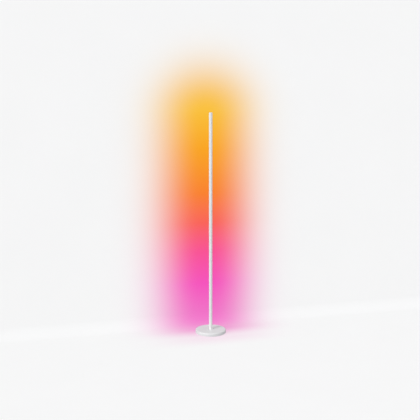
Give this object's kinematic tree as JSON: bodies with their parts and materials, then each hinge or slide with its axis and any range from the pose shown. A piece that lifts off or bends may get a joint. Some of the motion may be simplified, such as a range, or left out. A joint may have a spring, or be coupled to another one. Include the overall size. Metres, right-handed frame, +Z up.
{
  "type": "corner floor lamp",
  "caption": "Slim round column floor lamp on a flat weighted disc base, with a full-height light strip behind a rear diffuser that faces the corner.",
  "frame": {"origin": "on the floor, in the middle of the disc base, under the column's axis", "axes": "+Z up along the column; +Y rear, the lit side that faces the corner and holds the power inlet; -Y front; +X to the right for someone who looks at the front along +Y"},
  "size_m": [0.2, 0.2, 1.45],
  "materials": {
    "column_paint": "satin white powder coat on extruded aluminium",
    "cover_paint": "satin white powder coat on spun steel",
    "cap_plastic": "moulded white plastic, lightly textured",
    "opal_diffuser": "opal co-extruded plastic that spreads the light",
    "thermal_tape": "soft grey heat-conducting adhesive tape",
    "strip_board": "flexible board with a white solder mask",
    "led_package": "white moulded package with a clear resin window",
    "chip_black": "black moulding compound",
    "white_nylon": "natural white moulded nylon",
    "lead_insulation": "soft white insulation",
    "black_rubber": "soft black rubber",
    "cast_weight": "sand-cast iron with a dip coat of black paint",
    "black_plastic": "black moulded plastic with a fine spark texture",
    "foam_pad": "closed-cell black foam",
    "zinc_steel": "zinc-plated steel",
    "black_steel": "black oxide steel",
    "circuit_board": "glass-fibre board with a green solder mask",
    "radio_board": "thin glass-fibre board with a dark blue solder mask",
    "ferrite": "pressed ferrite, dark grey",
    "bare_aluminium": "drawn aluminium can",
    "tinned_lid": "tinned sheet steel",
    "plated_pin": "nickel-plated turned pin",
    "spring_brass": "nickel-washed spring brass"
  },
  "bodies": {
    "root": {"column_extrusion": "column_paint", "diffuser": "opal_diffuser", "top_cap": "cap_plastic", "led_thermal_tape": "thermal_tape", "led_strip_board": "strip_board", "led_packages": "led_package", "strip_driver_chips": "chip_black", "strip_connector": "white_nylon", "column_lead": "lead_insulation", "lead_grommet": "black_rubber", "base_cover": "cover_paint", "base_weight": "cast_weight", "bottom_plate": "black_plastic", "floor_pad": "foam_pad", "column_screws": "zinc_steel", "cover_studs": "zinc_steel", "bottom_plate_screws": "black_steel", "control_board": "circuit_board", "board_screws": "zinc_steel", "microcontroller": "chip_black", "regulator_chip": "chip_black", "power_inductor": "ferrite", "capacitor": "bare_aluminium", "power_transistors": "chip_black", "radio_module": "radio_board", "radio_shield": "tinned_lid", "inlet_housing": "black_plastic", "inlet_pin": "plated_pin", "inlet_contact": "spring_brass", "output_header": "white_nylon", "output_plug": "white_nylon"}
  },
  "joints": []
}
